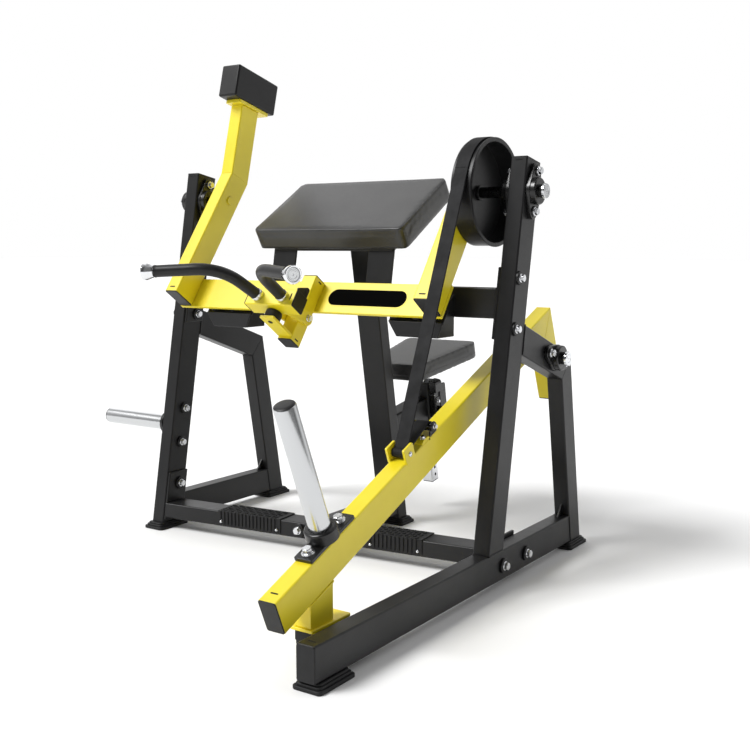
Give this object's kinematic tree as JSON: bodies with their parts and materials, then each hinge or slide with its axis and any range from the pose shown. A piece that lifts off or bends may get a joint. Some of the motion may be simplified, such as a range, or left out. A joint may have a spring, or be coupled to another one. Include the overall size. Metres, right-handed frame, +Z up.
{
  "type": "arm curl machine",
  "caption": "Plate-loaded seated arm-curl machine: angled arm pad, sliding seat, counterbalanced swinging yoke with curl handles, belt drum and weight lever.",
  "frame": {"origin": "centre of the bounding box in plan, on the floor under the feet", "axes": "+Z up, +Y from the weight lever's nose to the seat, +X across to the side frame with the belt drum"},
  "size_m": [1.515, 1.508, 1.4487],
  "materials": {
    "frame_black": "satin",
    "bearing_black": "gloss",
    "yellow_paint": "gloss",
    "chrome": "polished",
    "brushed_chrome": "brushed",
    "black_rubber": "matte",
    "grip_rubber": "satin",
    "black_plastic": "matte",
    "belt_webbing": "matte",
    "black_leather": "grained"
  },
  "bodies": {
    "root": {"right_base_beam": "frame_black", "right_upright": "frame_black", "right_top_rail": "frame_black", "right_rear_leg": "frame_black", "left_base_beam": "frame_black", "left_upright": "frame_black", "left_top_rail": "frame_black", "left_rear_leg": "frame_black", "foot_right_front": "black_rubber", "foot_right_rear": "black_rubber", "foot_left_front": "black_rubber", "foot_left_rear": "black_rubber", "foot_centre": "black_rubber", "mid_beam": "frame_black", "lower_crossbar": "frame_black", "foot_rest_left": "black_rubber", "foot_rest_right": "black_rubber", "centre_post": "frame_black", "centre_base_beam": "frame_black", "arm_pad": "black_leather", "pad_frame": "frame_black", "rest_stop_left": "frame_black", "rest_stop_right": "frame_black", "rest_buffer_left": "black_rubber", "rest_buffer_right": "black_rubber", "storage_horn": "brushed_chrome", "lever_bumper": "black_rubber", "yoke_bearing_right_outer": "bearing_black", "yoke_bearing_right_inner": "bearing_black", "yoke_bearing_left_inner": "bearing_black", "yoke_bearing_left_outer": "bearing_black", "lever_bearing": "bearing_black", "seat_carrier": "frame_black", "belt_span": "belt_webbing"},
    "yoke": {"left_arm": "yellow_paint", "right_arm": "yellow_paint", "cross_plate": "yellow_paint", "counterweight": "frame_black", "drum": "frame_black", "drum_shaft": "chrome", "left_shaft": "chrome", "handle_carrier": "yellow_paint", "handle_buffer": "black_rubber", "belt_wrap": "belt_webbing"},
    "handle": {"handle_block": "yellow_paint", "handle_pivot_bolt": "chrome", "handle_bar_left": "chrome", "grip_left": "grip_rubber", "handle_bar_right": "chrome", "grip_right": "grip_rubber"},
    "lever": {"lever_arm": "yellow_paint", "lever_end_cap": "black_plastic", "lever_shaft": "chrome", "weight_sleeve": "brushed_chrome", "sleeve_base": "frame_black", "belt_buckle": "frame_black", "stop_post": "yellow_paint"},
    "seat": {"seat_cushion": "black_leather", "seat_post": "chrome"},
    "seat_pin": {"seat_pin": "black_plastic"}
  },
  "joints": [
    {"name": "yoke_swing", "type": "hinge", "parent": "root", "child": "yoke", "pos_m": [0.1175, 0.17997, 1.024], "axis": [-1, 0, 0], "range_deg": [0, 115]},
    {"name": "lever_lift", "type": "hinge", "parent": "root", "child": "lever", "pos_m": [0.591, 0.34297, 0.577], "axis": [-1, 0, 0], "range_deg": [0, 32], "deforming": ["belt_span"]},
    {"name": "handle_tilt", "type": "hinge", "parent": "yoke", "child": "handle", "pos_m": [0.1175, -0.03823, 0.68589], "axis": [-1, 0, 0], "range_deg": [0, 60]},
    {"name": "seat_slide", "type": "slide", "parent": "root", "child": "seat", "axis": [0, -0.1771, 0.9842], "range_m": [-0.025, 0.1]},
    {"name": "seat_pin_pull", "type": "slide", "parent": "root", "child": "seat_pin", "axis": [1, 0, 0], "range_m": [0, 0.012], "stiffness_N_per_m": 600}
  ],
  "couplings": [
    {"joint": "lever_lift", "follows": "yoke_swing", "ratio": 0.275}
  ]
}
